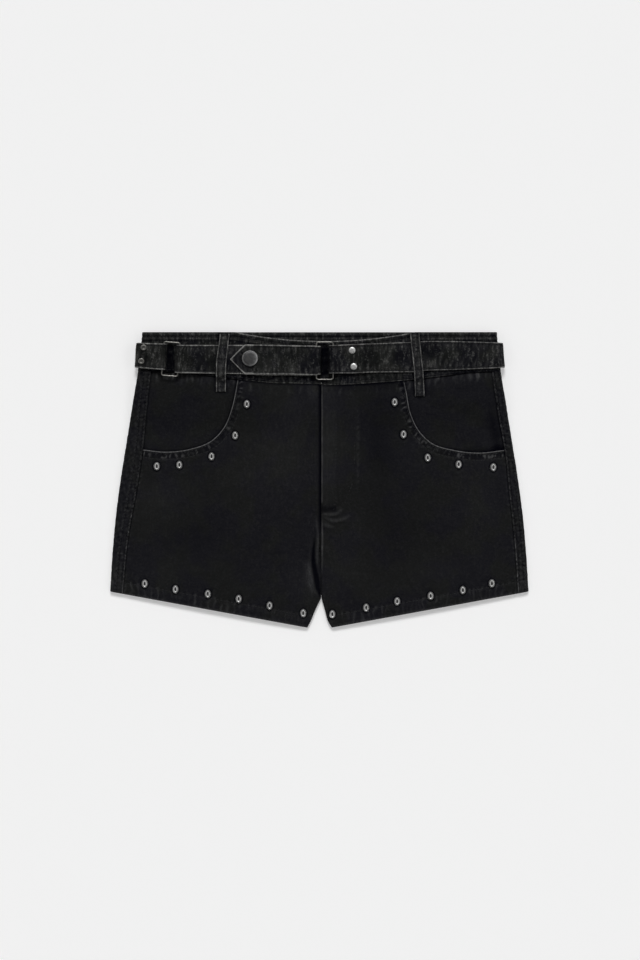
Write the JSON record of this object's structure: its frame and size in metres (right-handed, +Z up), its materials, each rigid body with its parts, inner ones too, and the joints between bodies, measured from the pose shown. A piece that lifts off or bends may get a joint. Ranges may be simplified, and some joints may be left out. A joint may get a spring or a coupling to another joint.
{
  "type": "studded faux leather shorts",
  "caption": "Black studded faux leather shorts with scooped pockets and their own buckled belt, laid flat with the front up.",
  "frame": {"origin": "on the surface that the shorts lie on, under the middle of their outline", "axes": "+Z up from the surface, +Y towards the waist, +X to the right as seen from above with the front up"},
  "size_m": [0.4356, 0.3072, 0.0161],
  "materials": {
    "leather": "matt black faux leather with a fine washed grain",
    "band_leather": "the same faux leather, rubbed grey along its edges",
    "steel": "satin nickel",
    "dark_steel": "gunmetal, rubbed bright at the rim"
  },
  "bodies": {
    "root": {"front_left": "leather", "back_left": "leather", "pocket_facing_left": "leather", "front_right": "leather", "back_right": "leather", "pocket_facing_right": "leather", "waistband": "band_leather", "belt": "band_leather", "strap": "band_leather", "loop_front_left": "band_leather", "loop_front_right": "band_leather", "loop_back_left": "band_leather", "loop_back_centre": "band_leather", "loop_back_right": "band_leather", "buckle_left": "steel", "buckle_centre": "steel", "snap_cap": "dark_steel", "rivet_left_upper": "steel", "rivet_left_lower": "steel", "rivet_right_upper": "steel", "rivet_right_lower": "steel", "stud_pocket_left_1": "steel", "stud_pocket_left_2": "steel", "stud_pocket_left_3": "steel", "stud_pocket_left_4": "steel", "stud_pocket_left_5": "steel", "stud_pocket_right_1": "steel", "stud_pocket_right_2": "steel", "stud_pocket_right_3": "steel", "stud_pocket_right_4": "steel", "stud_pocket_right_5": "steel", "stud_hem_left_1": "steel", "stud_hem_left_2": "steel", "stud_hem_left_3": "steel", "stud_hem_left_4": "steel", "stud_hem_left_5": "steel", "stud_hem_left_6": "steel", "stud_hem_right_1": "steel", "stud_hem_right_2": "steel", "stud_hem_right_3": "steel", "stud_hem_right_4": "steel", "stud_hem_right_5": "steel", "stud_hem_right_6": "steel"}
  },
  "joints": []
}
